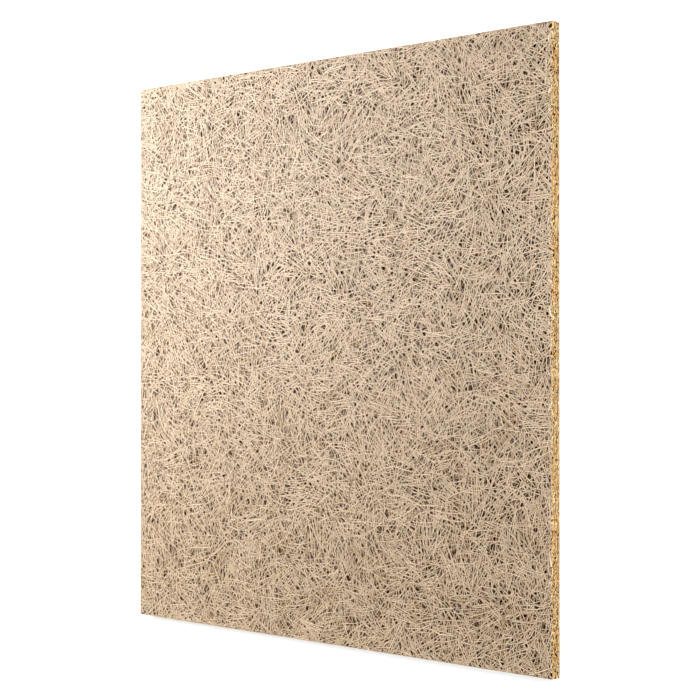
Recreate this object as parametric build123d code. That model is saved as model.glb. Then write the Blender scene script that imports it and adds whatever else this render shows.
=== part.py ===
"""Square wood wool board with straight sawn edges, in millimetres.

Long shavings of spruce are coated with a mineral binder, laid as a random mat, pressed flat and cured,
so the board is one piece. It is then sawn to its module on four sides, and the edge sander breaks the
sharp rim of both faces. The board lies on its back: Z = 0 is the back face, and the visible face is up.
"""
from build123d import *

import os

board_width = 600.0
board_length = 600.0
board_thickness = 12.0

# Width of the 45 degree arris round each face, and the most of the thickness that the two may take
arris_width = 0.8
arris_share_limit = 0.4


def sawn_blank():
    """The pressed mat, sawn square: one rectangle, as thick as the mat."""
    outline = Rectangle(board_width, board_length)
    return extrude(outline, amount=board_thickness)


def ease_arrises(board):
    """Breaks the rims of the back and the visible face, and leaves the four upright corners as sawn."""
    width = min(arris_width, arris_share_limit * board_thickness)
    faces = board.faces().filter_by(Axis.Z)
    rims = [edge for face in faces for edge in face.edges()]
    return chamfer(rims, width)


def wood_wool_board():
    return ease_arrises(sawn_blank())


os.makedirs("parts", exist_ok=True)
board = wood_wool_board()
board.label = "wood_wool_board"
export_step(board, "parts/wood_wool_board.step")
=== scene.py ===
"""A wood wool board, 600 x 600 x 12 mm, lying on its back: long shavings, bonded, pressed flat and sawn."""
from math import pi, radians, tau

import bpy
import numpy as np
from mathutils import Matrix, Vector


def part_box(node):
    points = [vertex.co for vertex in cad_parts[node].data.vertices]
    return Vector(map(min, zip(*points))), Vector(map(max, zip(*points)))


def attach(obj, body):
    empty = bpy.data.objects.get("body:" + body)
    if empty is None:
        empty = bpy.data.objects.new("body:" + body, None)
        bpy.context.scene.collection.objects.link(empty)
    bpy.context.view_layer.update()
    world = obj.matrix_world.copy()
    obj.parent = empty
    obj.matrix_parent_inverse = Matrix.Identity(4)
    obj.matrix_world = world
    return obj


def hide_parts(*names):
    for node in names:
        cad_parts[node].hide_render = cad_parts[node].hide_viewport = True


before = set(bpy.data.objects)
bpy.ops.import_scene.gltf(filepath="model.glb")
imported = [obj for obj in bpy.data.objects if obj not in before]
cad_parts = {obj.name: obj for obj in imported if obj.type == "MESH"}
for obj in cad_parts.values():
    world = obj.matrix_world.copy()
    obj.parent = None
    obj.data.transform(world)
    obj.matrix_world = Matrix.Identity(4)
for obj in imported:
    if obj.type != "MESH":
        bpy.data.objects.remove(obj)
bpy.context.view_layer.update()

# The camera looks down on the board at 45 degrees from its +X side, through the 93 mm lens that the
# photograph's corners give. Its top is turned towards +Y, so that the board stands upright in the picture.
camera_place = Vector((1.3345, -0.0091, 1.3037))
camera_aim = Vector((-0.7078, 0.0054, -0.7064))
camera_top = Vector((0, 1, 0))

camera_data = bpy.data.cameras.new("camera")
camera_data.lens = 93.0
camera_data.sensor_width = 36.0
camera = bpy.data.objects.new("camera", camera_data)
picture_back = -camera_aim.normalized()
picture_right = camera_top.cross(picture_back).normalized()
picture_up = picture_back.cross(picture_right)
picture_turn = Matrix((picture_right, picture_up, picture_back)).transposed().to_4x4()
camera.matrix_world = Matrix.Translation(camera_place) @ picture_turn
bpy.context.scene.collection.objects.link(camera)
bpy.context.scene.camera = camera

# The inner mat: the middle of the board, where the shavings lie too deep to be told apart. It is the ground
# that shows through the openings of both faces, coloured dark brown and black as painted shade. It is one
# closed slab with an uneven skin.
mm = 0.001
board_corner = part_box("wood_wool_board")[1]
half_side = board_corner.x
thickness = board_corner.z
mat_seed = 11
mat_setback = 5.0 * mm
mat_depth = 2.5 * mm
mat_cells = 50
mat_relief = 0.4 * mm
lump_cells = 40
lump_share = 0.6
swell_cells = 17
swell_share = 0.4

# Its strokes run in five directions, in degrees. They are noise drawn out along each, in cells per metre.
stroke_directions = 5
first_direction = 11
direction_step = 36
stroke_cells = (90, 850, 1)
stroke_offset = (3.7, 1.3)
sway_cells = 40.0
sway_size = (0.025, 0.025, 0.0)
opening_below = 0.56
stroke_above = 0.70
# Both colours are painted shade: near-black shadow in the openings, shaded brown on the strokes.
opening_painted_shadow = (0.02, 0.009, 0.003, 1)
shaded_stroke_colour = (0.24, 0.13, 0.05, 1)
stroke_height = 1.5 * mm


def node(tree, kind, place, **settings):
    """Adds a shader node; a setting that names an input sets its value, any other its property."""
    made = tree.nodes.new(kind)
    made.location = place
    for name, value in settings.items():
        if name in made.inputs:
            made.inputs[name].default_value = value
        else:
            setattr(made, name, value)
    return made


def new_mesh(name, points, corners, sizes, sharp_from=None):
    """A mesh object from arrays: points, the corners of its faces in turn, and how many each face has."""
    mesh = bpy.data.meshes.new(name)
    mesh.vertices.add(len(points))
    mesh.vertices.foreach_set("co", points.astype(np.float32).ravel())
    mesh.loops.add(len(corners))
    mesh.loops.foreach_set("vertex_index", corners.astype(np.int32))
    mesh.polygons.add(len(sizes))
    mesh.polygons.foreach_set("loop_start", (np.cumsum(sizes) - sizes).astype(np.int32))
    mesh.update(calc_edges=True)
    mesh.polygons.foreach_set("use_smooth", np.ones(len(sizes), bool))
    if sharp_from is not None:
        mesh.set_sharp_from_angle(angle=sharp_from)
    made = bpy.data.objects.new(name, mesh)
    bpy.context.scene.collection.objects.link(made)
    return made


def value_noise(dice, shape, cells):
    """Smooth noise between -1 and 1 over a grid of that shape, with about that many cells along it."""
    coarse = dice.uniform(-1, 1, (cells + 3, cells + 3))
    at = [np.linspace(0.5, cells + 0.5, n) for n in shape]
    whole = [a.astype(int) for a in at]
    part = [a - w for a, w in zip(at, whole)]
    ease = [p * p * (3 - 2 * p) for p in part]
    a, b = ease[0][:, None], ease[1][None, :]
    i, j = whole[0][:, None], whole[1][None, :]
    return ((coarse[i, j] * (1 - b) + coarse[i, j + 1] * b) * (1 - a)
            + (coarse[i + 1, j] * (1 - b) + coarse[i + 1, j + 1] * b) * a)


def inner_mat(dice):
    """Two uneven skins, one to each face, joined by a rim."""
    side = half_side - mat_setback
    n = mat_cells + 1
    along = np.linspace(-side, side, n)
    x, y = np.meshgrid(along, along, indexing="ij")
    skins = []
    for height in (thickness - mat_depth, mat_depth):
        relief = value_noise(dice, (n, n), lump_cells) * lump_share
        relief = relief + value_noise(dice, (n, n), swell_cells) * swell_share
        skins.append(np.stack([x, y, height + mat_relief * relief], axis=2).reshape(-1, 3))
    grid = np.arange(n * n).reshape(n, n)
    quads = np.stack([grid[:-1, :-1], grid[1:, :-1], grid[1:, 1:], grid[:-1, 1:]], axis=2).reshape(-1, 4)
    lower = quads[:, ::-1] + n * n
    round_rim = np.concatenate([grid[:, 0], grid[-1, 1:], grid[-2::-1, -1], grid[0, -2:0:-1]])
    onward = np.roll(round_rim, -1)
    rim = np.stack([round_rim + n * n, onward + n * n, onward, round_rim], axis=1)
    faces = np.concatenate([quads, lower, rim])
    return new_mesh("inner_mat", np.concatenate(skins), faces.ravel(), np.full(len(faces), 4))


def inner_mat_finish():
    """Painted deep shade: crossing strokes in shaded brown, with painted black shadow in the openings where
    none of them passes.
    """
    material = bpy.data.materials.new("inner_mat_finish")
    material.use_nodes = True
    tree = material.node_tree
    links = tree.links
    shader = tree.nodes["Principled BSDF"]
    shader.inputs["Roughness"].default_value = 0.95
    shader.inputs["Specular IOR Level"].default_value = 0.1
    place = node(tree, "ShaderNodeTexCoord", (-1500, 0))
    sway = node(tree, "ShaderNodeTexNoise", (-1300, -200), Scale=sway_cells, Detail=1.0)
    bend = node(tree, "ShaderNodeVectorMath", (-1100, 0), operation="MULTIPLY_ADD")
    bend.inputs[1].default_value = sway_size
    links.new(place.outputs["Object"], sway.inputs["Vector"])
    links.new(sway.outputs["Color"], bend.inputs[0])
    links.new(place.outputs["Object"], bend.inputs[2])
    highest = None
    for way in range(stroke_directions):
        turned = node(tree, "ShaderNodeMapping", (-900, -250 * way), Scale=stroke_cells,
                      Rotation=(0, 0, radians(first_direction + direction_step * way)),
                      Location=(stroke_offset[0] * way, stroke_offset[1] * way, 0))
        strokes = node(tree, "ShaderNodeTexNoise", (-700, -250 * way), Scale=1.0, Detail=0.0)
        links.new(bend.outputs[0], turned.inputs["Vector"])
        links.new(turned.outputs[0], strokes.inputs["Vector"])
        if highest is None:
            highest = strokes
            continue
        over = node(tree, "ShaderNodeMath", (-500, -250 * way), operation="MAXIMUM")
        links.new(highest.outputs[0], over.inputs[0])
        links.new(strokes.outputs[0], over.inputs[1])
        highest = over
    # Painted shade: black in the openings, shaded brown on the strokes
    ramp = node(tree, "ShaderNodeValToRGB", (-300, 0))
    ramp.color_ramp.elements[0].position = opening_below
    ramp.color_ramp.elements[0].color = opening_painted_shadow
    ramp.color_ramp.elements[1].position = stroke_above
    ramp.color_ramp.elements[1].color = shaded_stroke_colour
    bump = node(tree, "ShaderNodeBump", (-300, -300), Strength=1.0, Distance=stroke_height)
    links.new(highest.outputs[0], ramp.inputs["Fac"])
    links.new(ramp.outputs["Color"], shader.inputs["Base Color"])
    links.new(highest.outputs[0], bump.inputs["Height"])
    links.new(bump.outputs["Normal"], shader.inputs["Normal"])
    return material


mat = inner_mat(np.random.default_rng(mat_seed))
mat.data.materials.append(inner_mat_finish())
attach(mat, "root")
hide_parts("wood_wool_board")

# The face: spruce shavings about 1 mm wide and 0.4 mm thick, each coated with a beige mineral binder. They
# fall in drifts that share a direction and a curl, and each comes to rest where the mat is thinnest. The
# press lays the top ones flat against its plate, so that only narrow dark openings are left between them.
arris = 0.8 * mm
shaving_depths = (0.32 * mm, 0.5 * mm)
width_spread = 0.18
narrowest_share = 0.65
widest_share = 1.5
shortest_share = 0.55

# How they fall: one in a drift keeps near the drift's heading and curl, in radians per metre, and a stray
# one takes any heading. The spread is counted in small cells, and a laid shaving covers a lane of them.
drift_size = 34 * mm
drift_swing = 1.7 * pi
drift_curl_share = 0.5
tightest_curl = 26 * mm
heading_spread = radians(28)
curl_spread = 5.0
stray_share = 0.6
places_tried = 140
laid_at_once = 50
lane_half = 0.95 * mm
lane_stops = 48
lane_tracks = (-1, -0.5, 0, 0.5, 1)
stops_looked_at = 3
spread_cell = 0.5 * mm
spread_reach = half_side + 20 * mm
spread_cells = int(2 * spread_reach / spread_cell) + 1

# How one lies: it ripples sideways, weaves under its neighbours, dives at its two ends and rolls a little
ripple_swing = (radians(2), radians(8))
ripple_wave = (35 * mm, 90 * mm)
weave_depth = 0.2 * mm
weave_wave = (17 * mm, 30 * mm)
weave_shares = (0.6, 1.2)
weave_lag = 3
dive_shares = (0.5, 1.2)
dive_power = 6
shaving_roll = radians(5)
ring_roll = radians(4)
taper_share = 0.06
tip_share = 0.35
fine_per_step = 6
least_crossing = 0.2
longest_trim = 4 * mm
never_zero_gap = 1e-12
never_zero_way = 1e-9
crease_angle = radians(38)
mark_seeds = 100


def laying_plan(dice, cover, many, width, longest):
    """Middle, heading, curl, length and width of each shaving. They fall in batches, and each takes the
    emptiest of some places. cover counts how often each cell is covered by the layers of one face."""
    reach = spread_reach
    cells = spread_cells
    drifts = int(2 * reach / drift_size)
    drift_heading = drift_swing * value_noise(dice, (cells, cells), drifts)
    drift_curl = drift_curl_share * value_noise(dice, (cells, cells), drifts) / tightest_curl
    stops = np.linspace(-0.5, 0.5, lane_stops)
    plan = {"middle": [], "heading": [], "curl": [], "length": []}
    each = np.arange(laid_at_once)
    tried = (laid_at_once, places_tried)
    for _ in range(many // laid_at_once + 1):
        length = (longest * dice.uniform(shortest_share, 1.0, laid_at_once))[:, None]
        spot = dice.uniform(-reach, reach, (*tried, 2))
        cell = ((spot + reach) / spread_cell).astype(int)
        heading = drift_heading[cell[..., 0], cell[..., 1]] + dice.normal(0, heading_spread, tried)
        stray = dice.uniform(0, 1, (laid_at_once, 1)) < stray_share
        heading = np.where(stray, dice.uniform(0, tau, tried), heading)
        curl = drift_curl[cell[..., 0], cell[..., 1]] + dice.normal(0, curl_spread, tried)
        turn = heading[..., None] + (curl * length)[..., None] * stops
        bow = np.stack([np.cos(turn), np.sin(turn)], axis=-1) * (length / len(stops))[..., None, None]
        arc = np.cumsum(bow, axis=2)
        track = spot[:, :, None, :] + arc - arc[:, :, len(stops) // 2, None, :]
        lane = ((track[:, :, ::stops_looked_at] + reach) / spread_cell).astype(int)
        lane = np.clip(lane, 0, cells - 1)
        best = np.argmin(cover[lane[..., 0], lane[..., 1]].mean(axis=2), axis=1)
        for name, values in (("middle", spot), ("heading", heading), ("curl", curl)):
            plan[name].append(values[each, best])
        plan["length"].append(length[:, 0])
        chosen = track[each, best]
        across = bow[each, best][..., ::-1] * np.array([-1, 1])
        across /= np.linalg.norm(across, axis=-1, keepdims=True)
        for side in lane_tracks:
            covered = chosen + side * lane_half * across
            stamp = ((covered + reach) / spread_cell).astype(int).clip(0, cells - 1)
            np.add.at(cover, (stamp[..., 0], stamp[..., 1]), 1.0)
    plan = {name: np.concatenate(values)[:many] for name, values in plan.items()}
    spread = np.exp(dice.normal(0, width_spread, many))
    plan["width"] = width * np.clip(spread, narrowest_share, widest_share)
    return plan


def shaving_paths(dice, plan, steps, depths, dive):
    """Centre lines at an even spacing, sawn off at the board's sides: which shavings are left, their
    points, the share of the length at each, and whether the start and the end are sawn."""
    fine = fine_per_step * steps
    share = np.linspace(-0.5, 0.5, fine + 1)[None, :]
    length = plan["length"][:, None]
    many = len(length)
    ripple = dice.uniform(*ripple_swing, (many, 1))
    wave = length / dice.uniform(*ripple_wave, (many, 1))
    start = dice.uniform(0, tau, (many, 1))
    heading = plan["heading"][:, None] + plan["curl"][:, None] * share * length
    heading = heading + ripple * np.sin(tau * wave * share + start)
    step = length / fine
    x = np.cumsum(np.cos(heading) * step, axis=1)
    y = np.cumsum(np.sin(heading) * step, axis=1)
    x += plan["middle"][:, :1] - x[:, fine // 2, None]
    y += plan["middle"][:, 1:] - y[:, fine // 2, None]
    depth = dice.uniform(*depths, (many, 1))
    weaves = length / dice.uniform(*weave_wave, (many, 1))
    under = weave_depth * dice.uniform(*weave_shares, (many, 1)) * 0.5
    under = under * (1 - np.cos(tau * weaves * share + start * weave_lag))
    fall = dive * dice.uniform(*dive_shares, (many, 1)) * np.abs(2 * share) ** dive_power
    z = thickness - depth - under - fall
    over = np.maximum(np.abs(x), np.abs(y)) - half_side
    inside = over <= 0
    core = np.argmin(over, axis=1)
    index = np.arange(fine + 1)[None, :]
    out_after = np.where(~inside & (index > core[:, None]), index, fine + 1).min(axis=1)
    out_before = np.where(~inside & (index < core[:, None]), index, -1).max(axis=1)
    kept = inside[np.arange(many), core] & (out_after - out_before > fine_per_step)
    rows = np.flatnonzero(kept)
    out_after, out_before, over = out_after[rows], out_before[rows], over[rows]
    each = np.arange(len(rows))
    sawn_end, sawn_start = out_after <= fine, out_before >= 0
    outer = np.minimum(out_after, fine)
    crossed = over[each, outer] / (over[each, outer] - over[each, outer - 1] + never_zero_gap)
    last = np.where(sawn_end, outer - crossed, fine)
    outer = np.maximum(out_before, 0)
    crossed = over[each, outer] / (over[each, outer] - over[each, outer + 1] + never_zero_gap)
    first = np.where(sawn_start, outer + crossed, 0)
    at = first[:, None] + (last - first)[:, None] * np.linspace(0, 1, steps + 1)[None, :]
    low = np.clip(at.astype(int), 0, fine - 1)
    part = (at - low)[..., None]
    line = np.stack([x, y, z], axis=2)[rows]
    points = line[each[:, None], low] * (1 - part) + line[each[:, None], low + 1] * part
    return rows, points, at / fine - 0.5, sawn_start, sawn_end


def within_saw_cuts(points):
    """Flattens what stands proud against the press plates, the four saw cuts and the arrises."""
    z = np.clip(points[..., 2], 0, thickness)
    limit = half_side - np.maximum(0, np.maximum(arris - z, z - (thickness - arris)))
    x = np.clip(points[..., 0], -limit, limit)
    y = np.clip(points[..., 1], -limit, limit)
    return np.stack([x, y, z], axis=-1)


def shaving_rings(points, share, width, deep, roll, sawn_start, sawn_end):
    """Three corner points round each stop of a centre line: the two edges of its flat top, and its keel.
    Its two ends taper, and a sawn end is drawn out or back along the shaving, up to the saw cut."""
    tangent = np.gradient(points, axis=1)
    tangent /= np.linalg.norm(tangent, axis=2, keepdims=True)
    flat = np.stack([-tangent[..., 1], tangent[..., 0], np.zeros(tangent.shape[:2])], axis=2)
    flat /= np.linalg.norm(flat, axis=2, keepdims=True)
    rise = np.cross(tangent, flat)
    side = flat * np.cos(roll)[..., None] + rise * np.sin(roll)[..., None]
    face = rise * np.cos(roll)[..., None] - flat * np.sin(roll)[..., None]
    taper = np.clip((0.5 - np.abs(share)) / taper_share, 0, 1)
    half = 0.5 * width[:, None] * (tip_share + (1 - tip_share) * taper)
    top = points - np.abs(np.sin(roll) * half)[..., None] * np.array([0, 0, 1])
    left_edge = top + side * half[..., None]
    right_edge = top - side * half[..., None]
    keel = top - face * deep[:, None, None]
    rings = np.stack([left_edge, right_edge, keel], axis=2)
    each = np.arange(len(points))
    for end, sawn in ((0, sawn_start), (-1, sawn_end)):
        across_x = np.abs(points[:, end, 0]) >= np.abs(points[:, end, 1])
        axis = np.where(across_x, 0, 1)
        plane = np.sign(points[each, end, axis]) * half_side
        way = tangent[each, end, axis]
        aslant = np.abs(way) < least_crossing
        steep = np.where(aslant, np.sign(way + never_zero_way) * least_crossing, way)
        shift = (plane[:, None] - rings[each, end, :, axis]) / steep[:, None]
        shift = np.where(sawn[:, None], np.clip(shift, -longest_trim, longest_trim), 0)
        rings[:, end] += tangent[:, end, None, :] * shift[..., None]
    return within_saw_cuts(rings)


def strip_map(made, many, steps, sides):
    """Lays each shaving out as a strip in a cell of its own: its sides one above the other along the cell,
    and its two ends beside them, with a margin round the cell."""
    cell_stretch = 2.2
    margin_share_w, margin_share_h = 0.03, 0.08
    body_share = 0.86
    cap_share = 0.46
    cap_radius = 0.45
    columns = max(1, int(round(np.sqrt(many * (sides + 1) / (steps + 1.0) / cell_stretch))))
    rows = int(np.ceil(many / columns))
    cell_w, cell_h = 1 / columns, 1 / rows
    margin_w, margin_h = margin_share_w * cell_w, margin_share_h * cell_h
    each = np.arange(many)
    left = (each % columns) * cell_w + margin_w
    low = (each // columns) * cell_h + margin_h
    body = body_share * cell_w - margin_w
    tall = cell_h - 2 * margin_h
    u = np.linspace(0, body, steps + 1)
    v = np.linspace(0, tall, sides + 1)
    quad_u = np.stack([u[:-1], u[1:], u[1:], u[:-1]], axis=1)[:, None, :] + np.zeros((1, sides, 1))
    quad_v = np.stack([v[:-1], v[:-1], v[1:], v[1:]], axis=1)[None, :, :] + np.zeros((steps, 1, 1))
    ring = np.arange(sides) / sides * tau
    cap_u, cap_v = 0.5 + cap_radius * np.cos(ring), 0.5 + cap_radius * np.sin(ring)
    cap_w = cell_w - body - 3 * margin_w
    start_u, start_v = body + margin_w + cap_u * cap_w, cap_v * tall * cap_share
    end_u, end_v = start_u[::-1], cap_v[::-1] * tall * cap_share + tall * (1 - cap_share)
    local_u = np.concatenate([quad_u.ravel(), start_u, end_u])
    local_v = np.concatenate([quad_v.ravel(), start_v, end_v])
    uv = np.stack([left[:, None] + local_u[None, :], low[:, None] + local_v[None, :]], axis=2)
    layer = made.data.uv_layers.new(name="OFBake")
    layer.uv.foreach_set("vector", uv.astype(np.float32).ravel())


def shaving_mesh(name, rings, along, across, tone, marks):
    """One mesh of closed shavings. along is metres from the shaving's start, across is -1 and 1 at its two
    edges and 0 at its keel, tone is 0 to 1, and marks is the seed of its patches."""
    many, stops, sides = rings.shape[:3]
    steps = stops - 1
    ring, edge = np.meshgrid(np.arange(steps), np.arange(sides), indexing="ij")
    onward = (edge + 1) % sides
    wall = np.stack([ring * sides + edge, (ring + 1) * sides + edge, (ring + 1) * sides + onward,
                     ring * sides + onward], axis=2).reshape(-1)
    caps = np.concatenate([np.arange(sides), steps * sides + np.arange(sides)[::-1]])
    pattern = np.concatenate([wall, caps])
    sizes = np.concatenate([np.full(steps * sides, 4), np.full(2, sides)])
    corners = (np.arange(many)[:, None] * stops * sides + pattern[None, :]).ravel()
    made = new_mesh(name, rings.reshape(-1, 3), corners, np.tile(sizes, many), sharp_from=crease_angle)
    for label, value in (("along", along[:, :, None]), ("across", np.array(across)[None, None, :]),
                         ("tone", tone[:, None, None]), ("marks", marks[:, None, None])):
        at_points = np.broadcast_to(value, (many, stops, sides)).astype(np.float32).ravel()
        made.data.attributes.new(label, "FLOAT", "POINT").data.foreach_set("value", at_points)
    strip_map(made, many, steps, sides)
    return made


def shaving_layer(name, seed, cover, many, width, longest, steps, depths, dive, side_up=1):
    """Makes one layer of the mat. depths is the range that its tops lie below the plate, and dive how much
    deeper the ends go. side_up is -1 for the back face, which is the same mat turned over."""
    dice = np.random.default_rng(seed)
    plan = laying_plan(dice, cover, many, width, longest)
    rows, points, share, sawn_start, sawn_end = shaving_paths(dice, plan, steps, depths, dive)
    many = len(rows)
    roll = dice.normal(0, shaving_roll, (many, 1)) + dice.normal(0, ring_roll, share.shape)
    deep = dice.uniform(*shaving_depths, many)
    rings = shaving_rings(points, share, plan["width"][rows], deep, roll, sawn_start, sawn_end)
    if side_up < 0:
        rings = rings * np.array([1, -1, -1]) + np.array([0, 0, thickness])
    along = (share + 0.5) * plan["length"][rows, None]
    tone = dice.uniform(0, 1, many)
    marks = dice.uniform(0, mark_seeds, many)
    return shaving_mesh(name, rings, along, (-1, 1, 0), tone, marks)


# The finish of a shaving: beige binder over wood, thin and brown on a few of them, in patches along each.
# Its two edges are painted dark brown as shade, for the shadowed slits between shavings, and all that lies
# deep in the openings is painted darker with depth as shade. Where the saw bared the wood, it is golden,
# and darker in broad patches. The cells of each noise are counted per metre.
binder_tones = ((0.0, (0.42, 0.25, 0.10)), (0.06, (0.66, 0.45, 0.22)), (0.16, (0.84, 0.63, 0.41)),
                (0.7, (0.88, 0.67, 0.44)), (1.0, (0.92, 0.72, 0.48)))
binder_roughness = 0.58
binder_gloss = 0.95
patch_cells = 220.0
patch_noise = (0.35, 0.65)
patch_levels = (0.82, 1.1)
dust_cells = 900.0
dust_height = 0.12 * mm
dust_strength = 0.35
# Painted shade deep in the openings: the deeper below a face, the darker the colour.
shade_depths = (1.0 * mm, 0.5 * mm)
shade_colour = (0.09, 0.035, 0.006, 1)
# Painted shade along each shaving's two edges, for the shadowed slits between shavings.
rim_shade_places = (0.35, 0.95)
rim_shade_strength = 0.95
rim_shade_colour = (0.18, 0.085, 0.018, 1)
bare_depths = (0.7 * mm, 0.1 * mm)
bare_wood_dark = (0.62, 0.37, 0.13, 1)
bare_wood_light = (0.97, 0.76, 0.42, 1)
resin_cells = 55.0
resin_noise = (0.36, 0.62)
resin_colour = (0.94, 0.78, 0.58, 1)
clear_colour = (1.0, 1.0, 0.95, 1)


def map_range(tree, place, source, target=(0.0, 1.0)):
    """Adds a node that maps the first range of values onto the second."""
    made = node(tree, "ShaderNodeMapRange", place)
    made.inputs["From Min"].default_value, made.inputs["From Max"].default_value = source
    made.inputs["To Min"].default_value, made.inputs["To Max"].default_value = target
    return made


def multiply_colours(tree, place):
    """Adds a node that multiplies two colours in full."""
    made = node(tree, "ShaderNodeMix", place, data_type="RGBA", blend_type="MULTIPLY")
    made.inputs[0].default_value = 1.0
    return made


def shaving_finish():
    """Beige binder with patches, painted shade on the rims and in the openings, and golden wood where the
    saw bared it.
    """
    material = bpy.data.materials.new("bound_shavings")
    material.use_nodes = True
    tree = material.node_tree
    links = tree.links
    shader = tree.nodes["Principled BSDF"]
    shader.inputs["Roughness"].default_value = binder_roughness
    place = node(tree, "ShaderNodeTexCoord", (-1700, 0))
    tone = node(tree, "ShaderNodeAttribute", (-1700, 300), attribute_name="tone")
    marks = node(tree, "ShaderNodeAttribute", (-1700, -300), attribute_name="marks")
    along = node(tree, "ShaderNodeAttribute", (-1700, -500), attribute_name="along")
    across = node(tree, "ShaderNodeAttribute", (-700, -100), attribute_name="across")

    binder = node(tree, "ShaderNodeValToRGB", (-1000, 300))
    ramp = binder.color_ramp
    while len(ramp.elements) < len(binder_tones):
        ramp.elements.new(0.5)
    for element, (at, colour) in zip(ramp.elements, binder_tones):
        element.position = at
        element.color = (*colour, 1)
    stretch = node(tree, "ShaderNodeMath", (-1550, -500), operation="MULTIPLY")
    stretch.inputs[1].default_value = patch_cells
    spot = node(tree, "ShaderNodeCombineXYZ", (-1400, -400))
    blotch = node(tree, "ShaderNodeTexNoise", (-1200, -400), Scale=1.0, Detail=2.0)
    patches = map_range(tree, (-950, -400), patch_noise, patch_levels)
    patched = multiply_colours(tree, (-700, 200))
    links.new(tone.outputs["Fac"], binder.inputs["Fac"])
    links.new(along.outputs["Fac"], stretch.inputs[0])
    links.new(stretch.outputs[0], spot.inputs[0])
    links.new(marks.outputs["Fac"], spot.inputs[1])
    links.new(spot.outputs[0], blotch.inputs["Vector"])
    links.new(blotch.outputs["Fac"], patches.inputs["Value"])
    links.new(binder.outputs["Color"], patched.inputs[6])
    links.new(patches.outputs[0], patched.inputs[7])

    # Painted shade: the deeper below either face, the darker the colour
    parts = node(tree, "ShaderNodeSeparateXYZ", (-1500, 700))
    off_centre = node(tree, "ShaderNodeMath", (-1300, 700), operation="SUBTRACT")
    off_centre.inputs[1].default_value = thickness / 2
    from_centre = node(tree, "ShaderNodeMath", (-1150, 700), operation="ABSOLUTE")
    above_painted_shade = map_range(tree, (-1000, 700), [thickness / 2 - depth for depth in shade_depths])
    depth_shade = node(tree, "ShaderNodeValToRGB", (-800, 600))
    depth_shade.color_ramp.elements[0].color = shade_colour
    depth_shade.color_ramp.elements[1].color = (1, 1, 1, 1)
    shaded = multiply_colours(tree, (-500, 200))
    links.new(place.outputs["Object"], parts.inputs[0])
    links.new(parts.outputs["Z"], off_centre.inputs[0])
    links.new(off_centre.outputs[0], from_centre.inputs[0])
    links.new(from_centre.outputs[0], above_painted_shade.inputs["Value"])
    links.new(above_painted_shade.outputs[0], depth_shade.inputs["Fac"])
    links.new(patched.outputs[2], shaded.inputs[6])
    links.new(depth_shade.outputs["Color"], shaded.inputs[7])

    abs_x = node(tree, "ShaderNodeMath", (-1300, 950), operation="ABSOLUTE")
    abs_y = node(tree, "ShaderNodeMath", (-1300, 1100), operation="ABSOLUTE")
    edge = node(tree, "ShaderNodeMath", (-1150, 1000), operation="MAXIMUM")
    sawn = map_range(tree, (-1000, 1000), [half_side - depth for depth in bare_depths])
    wood = node(tree, "ShaderNodeValToRGB", (-1000, 500))
    wood.color_ramp.elements[0].color = bare_wood_dark
    wood.color_ramp.elements[1].color = bare_wood_light
    drift = node(tree, "ShaderNodeTexNoise", (-1000, 400), Scale=resin_cells, Detail=2.0)
    resin = node(tree, "ShaderNodeValToRGB", (-800, 400))
    resin.color_ramp.elements[0].position = resin_noise[0]
    resin.color_ramp.elements[0].color = resin_colour
    resin.color_ramp.elements[1].position = resin_noise[1]
    resin.color_ramp.elements[1].color = clear_colour
    bare_wood = multiply_colours(tree, (-500, 450))
    bare = node(tree, "ShaderNodeMix", (-300, 250), data_type="RGBA")
    links.new(parts.outputs["X"], abs_x.inputs[0])
    links.new(parts.outputs["Y"], abs_y.inputs[0])
    links.new(abs_x.outputs[0], edge.inputs[0])
    links.new(abs_y.outputs[0], edge.inputs[1])
    links.new(edge.outputs[0], sawn.inputs["Value"])
    links.new(place.outputs["Object"], drift.inputs["Vector"])
    links.new(drift.outputs["Fac"], resin.inputs["Fac"])
    links.new(tone.outputs["Fac"], wood.inputs["Fac"])
    links.new(wood.outputs["Color"], bare_wood.inputs[6])
    links.new(resin.outputs["Color"], bare_wood.inputs[7])
    links.new(sawn.outputs[0], bare.inputs[0])
    links.new(shaded.outputs[2], bare.inputs[6])
    links.new(bare_wood.outputs[2], bare.inputs[7])

    # Painted shade along each shaving's two edges, for the shadowed slits between shavings
    off_middle = node(tree, "ShaderNodeMath", (-550, -100), operation="ABSOLUTE")
    rim = map_range(tree, (-400, -100), rim_shade_places, (0.0, rim_shade_strength))
    rim_shaded = node(tree, "ShaderNodeMix", (-150, 250), data_type="RGBA", blend_type="MULTIPLY")
    rim_shaded.inputs[7].default_value = rim_shade_colour
    links.new(across.outputs["Fac"], off_middle.inputs[0])
    links.new(off_middle.outputs[0], rim.inputs["Value"])
    links.new(rim.outputs[0], rim_shaded.inputs[0])
    links.new(bare.outputs[2], rim_shaded.inputs[6])
    links.new(rim_shaded.outputs[2], shader.inputs["Base Color"])

    # The gloss is the binder's and the sawn wood's; it is taken away where shade is painted, on the rims
    # and in the depths
    lit = node(tree, "ShaderNodeMath", (-400, 900), operation="MAXIMUM")
    off_rim_shade = node(tree, "ShaderNodeMath", (-250, 0), operation="SUBTRACT")
    off_rim_shade.inputs[0].default_value = 1.0
    glossy = node(tree, "ShaderNodeMath", (-100, 0), operation="MULTIPLY")
    gloss = node(tree, "ShaderNodeMath", (50, 0), operation="MULTIPLY")
    gloss.inputs[1].default_value = binder_gloss
    links.new(above_painted_shade.outputs[0], lit.inputs[0])
    links.new(sawn.outputs[0], lit.inputs[1])
    links.new(rim.outputs[0], off_rim_shade.inputs[1])
    links.new(lit.outputs[0], glossy.inputs[0])
    links.new(off_rim_shade.outputs[0], glossy.inputs[1])
    links.new(glossy.outputs[0], gloss.inputs[0])
    links.new(gloss.outputs[0], shader.inputs["Specular IOR Level"])

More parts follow.
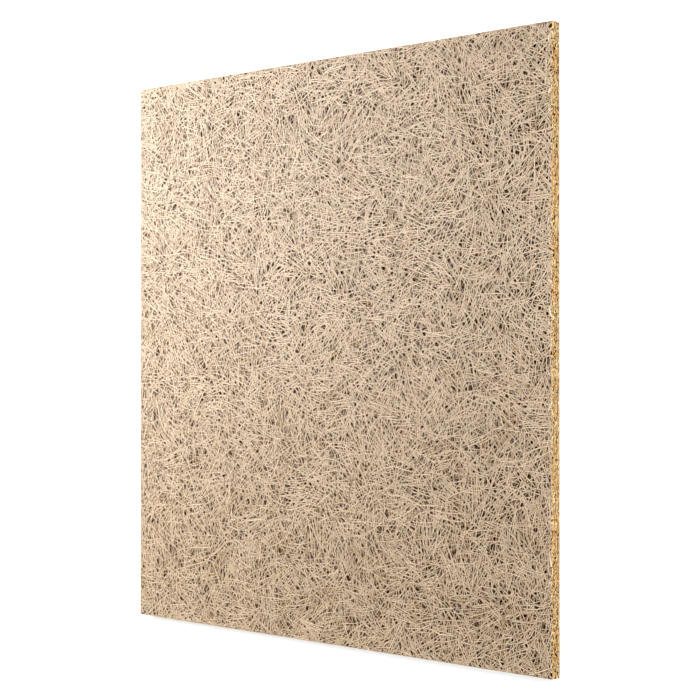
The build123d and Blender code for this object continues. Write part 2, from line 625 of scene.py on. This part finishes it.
    dust = node(tree, "ShaderNodeTexNoise", (-1200, -700), Scale=dust_cells, Detail=3.0)
    bump = node(tree, "ShaderNodeBump", (-300, -400), Strength=dust_strength, Distance=dust_height)
    links.new(place.outputs["Object"], dust.inputs["Vector"])
    links.new(dust.outputs["Fac"], bump.inputs["Height"])
    links.new(bump.outputs["Normal"], shader.inputs["Normal"])
    return material


shavings = shaving_finish()
face_cover = np.zeros((spread_cells, spread_cells), np.float32)
face_layers = [
    shaving_layer("face_shavings_top", 21, face_cover, many=7600, width=1.02 * mm, longest=58 * mm,
                  steps=4, depths=(0.02 * mm, 0.18 * mm), dive=0.9 * mm),
    shaving_layer("face_shavings_second", 22, face_cover, many=7600, width=1.02 * mm, longest=58 * mm,
                  steps=4, depths=(0.15 * mm, 0.4 * mm), dive=0.9 * mm),
    shaving_layer("face_shavings_third", 23, face_cover, many=4200, width=1.0 * mm, longest=58 * mm,
                  steps=4, depths=(0.62 * mm, 0.92 * mm), dive=0.8 * mm),
    shaving_layer("face_shavings_deep", 24, face_cover, many=1800, width=1.3 * mm, longest=64 * mm,
                  steps=5, depths=(1.4 * mm, 1.8 * mm), dive=0.6 * mm),
]
for layer in face_layers:
    layer.data.materials.append(shavings)
    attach(layer, "root")

# The back: the same mat with the same binder, pressed against the lower plate. It is made plainly, of three
# layers of wider and longer shavings.
back_cover = np.zeros((spread_cells, spread_cells), np.float32)
back_layers = [
    shaving_layer("back_shavings_outer", 31, back_cover, many=3600, width=1.6 * mm, longest=74 * mm,
                  steps=5, depths=(0.02 * mm, 0.2 * mm), dive=0.9 * mm, side_up=-1),
    shaving_layer("back_shavings_second", 32, back_cover, many=3600, width=1.6 * mm, longest=74 * mm,
                  steps=5, depths=(0.25 * mm, 0.45 * mm), dive=0.9 * mm, side_up=-1),
    shaving_layer("back_shavings_deep", 33, back_cover, many=1500, width=1.7 * mm, longest=74 * mm,
                  steps=5, depths=(0.8 * mm, 1.1 * mm), dive=0.8 * mm, side_up=-1),
]
for layer in back_layers:
    layer.data.materials.append(shavings)
    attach(layer, "root")

# The four sawn edges: every shaving that crosses the cut ends there, flush, and shows bare golden wood.
# Most show a short slice, and those that run nearly along the edge a long one, with openings between. Their
# inner ends and the mat behind them are dark with painted shade.
edge_seed = 41
slice_levels = 12
slice_width = 1.5 * mm
slice_spread = 0.2
slice_pitch = 1.25
slice_gap = 1.0 * mm
slice_low = 0.7 * mm
slice_depths = (0.3 * mm, 0.5 * mm)
slice_corners = ((0.5, 0.5), (-0.5, 0.5), (-0.5, -0.5), (0.5, -0.5))
most_aslant = 0.97
stub_length = 4.0 * mm
stub_least_run = 0.35
stub_pitch_spread = 0.10
slice_tip_spread = 0.16
level_sway = 0.18 * mm
long_sway = (23 * mm, 0.9)
short_sway = (9 * mm, 2.3)
level_spread = 0.12 * mm
level_lead = 20 * mm
corner_gap = 0.5 * mm


def sawn_stubs(dice):
    """Straight pieces of shaving, from the cut inwards, as corner points on the +X side, then turned to
    each side. They lie in levels, one above the other, which sway along the edge."""
    quarters = []
    for quarter in range(4):
        per_level = int(2 * half_side / (slice_width * slice_pitch + slice_gap))
        level = np.repeat(np.arange(slice_levels), per_level)
        angle = np.arcsin(dice.uniform(-most_aslant, most_aslant, len(level)))
        wide = slice_width * np.exp(dice.normal(0, slice_spread, len(level)))
        cut = wide / np.cos(angle)
        gap = dice.exponential(slice_gap, len(level))
        place = np.cumsum((cut + gap).reshape(slice_levels, per_level), axis=1).ravel()
        lead = np.repeat(dice.uniform(-level_lead, 0, slice_levels), per_level)
        place = place - cut / 2 + lead - half_side
        pitch = (thickness - 2 * slice_low) / slice_levels
        sway = np.sin(place / long_sway[0] + level * long_sway[1])
        sway = sway + np.sin(place / short_sway[0] + level * short_sway[1])
        z = slice_low + (level + 0.5) * pitch + sway * level_sway + dice.normal(0, level_spread, len(level))
        deep = dice.uniform(*slice_depths, len(level))
        good = np.abs(place) < half_side - corner_gap
        angle, cut, place, z, deep = (values[good] for values in (angle, cut, place, z, deep))
        slope = dice.normal(0, stub_pitch_spread, len(angle))
        way = np.stack([-np.cos(angle), np.sin(angle), slope], axis=1)
        tip = dice.normal(0, slice_tip_spread, len(angle))
        stub_run = stub_length / np.maximum(np.cos(angle), stub_least_run)
        rings = np.zeros((len(angle), 2, 4, 3))
        for stop, run in enumerate((0.0 * stub_run, stub_run)):
            for corner, (across, rise) in enumerate(slice_corners):
                rings[:, stop, corner, 0] = half_side + way[:, 0] * run
                rings[:, stop, corner, 1] = place + across * cut + way[:, 1] * run
                rings[:, stop, corner, 2] = z + rise * deep + across * cut * tip + way[:, 2] * run
        turn = quarter * pi / 2
        x, y = rings[..., 0].copy(), rings[..., 1].copy()
        rings[..., 0] = x * np.cos(turn) - y * np.sin(turn)
        rings[..., 1] = x * np.sin(turn) + y * np.cos(turn)
        quarters.append(rings)
    return within_saw_cuts(np.concatenate(quarters))


edge_dice = np.random.default_rng(edge_seed)
stubs = sawn_stubs(edge_dice)
stub_along = np.tile(np.array([0.0, stub_length]), (len(stubs), 1))
stub_tone = edge_dice.uniform(0, 1, len(stubs))
stub_marks = edge_dice.uniform(0, mark_seeds, len(stubs))
sawn_edges = shaving_mesh("sawn_edges", stubs, stub_along, (0, 0, 0, 0), stub_tone, stub_marks)
sawn_edges.data.materials.append(shavings)
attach(sawn_edges, "root")

# The floor: a plain pale sheet that the board lies on. It is white to the camera, and it keeps the shadow
# that the board casts.
floor_side = 8.0
floor_grey = 0.82
floor_glow = 0.62
floor_corners = np.array([(-1, -1, 0), (1, -1, 0), (1, 1, 0), (-1, 1, 0)])
floor = new_mesh("floor", floor_corners * floor_side / 2, np.arange(4), np.array([4]))
paper = bpy.data.materials.new("white_paper")
paper.use_nodes = True
paper_shader = paper.node_tree.nodes["Principled BSDF"]
paper_shader.inputs["Base Color"].default_value = (floor_grey, floor_grey, floor_grey, 1)
paper_shader.inputs["Roughness"].default_value = 0.9
paper_shader.inputs["Emission Color"].default_value = (1, 1, 1, 1)
paper_seen = node(paper.node_tree, "ShaderNodeLightPath", (-600, -200))
paper_glow = node(paper.node_tree, "ShaderNodeMath", (-300, -200), operation="MULTIPLY")
paper_glow.inputs[1].default_value = floor_glow
paper.node_tree.links.new(paper_seen.outputs["Is Camera Ray"], paper_glow.inputs[0])
paper.node_tree.links.new(paper_glow.outputs[0], paper_shader.inputs["Emission Strength"])
floor.data.materials.append(paper)

# Studio light: a soft key lamp beyond the board's -X side, a small low lamp on the +X side that fills the
# sawn edge there, and an even surround, which is white to the camera.
surround_light = 0.42
surround_seen_as = 1.0


def disk_lamp(name, size, watts, place):
    """A round lamp that faces the middle of the board."""
    data = bpy.data.lights.new(name, "AREA")
    data.shape = "DISK"
    data.size = size
    data.energy = watts
    lamp = bpy.data.objects.new(name, data)
    lamp.location = place
    lamp.rotation_euler = (-lamp.location).to_track_quat("-Z", "Y").to_euler()
    bpy.context.scene.collection.objects.link(lamp)


disk_lamp("key", size=0.45, watts=32.5, place=(-1.25, 0.35, 0.95))
disk_lamp("fill", size=0.3, watts=24.0, place=(1.6, 0.1, 0.16))
world = bpy.data.worlds.new("surround")
world.use_nodes = True
surround = world.node_tree.nodes["Background"]
surround.inputs["Color"].default_value = (1, 1, 1, 1)
surround_seen = node(world.node_tree, "ShaderNodeLightPath", (-600, 0))
surround_level = map_range(world.node_tree, (-300, 0), (0.0, 1.0), (surround_light, surround_seen_as))
world.node_tree.links.new(surround_seen.outputs["Is Camera Ray"], surround_level.inputs["Value"])
world.node_tree.links.new(surround_level.outputs[0], surround.inputs["Strength"])
bpy.context.scene.world = world
bpy.context.scene.view_settings.view_transform = "Standard"
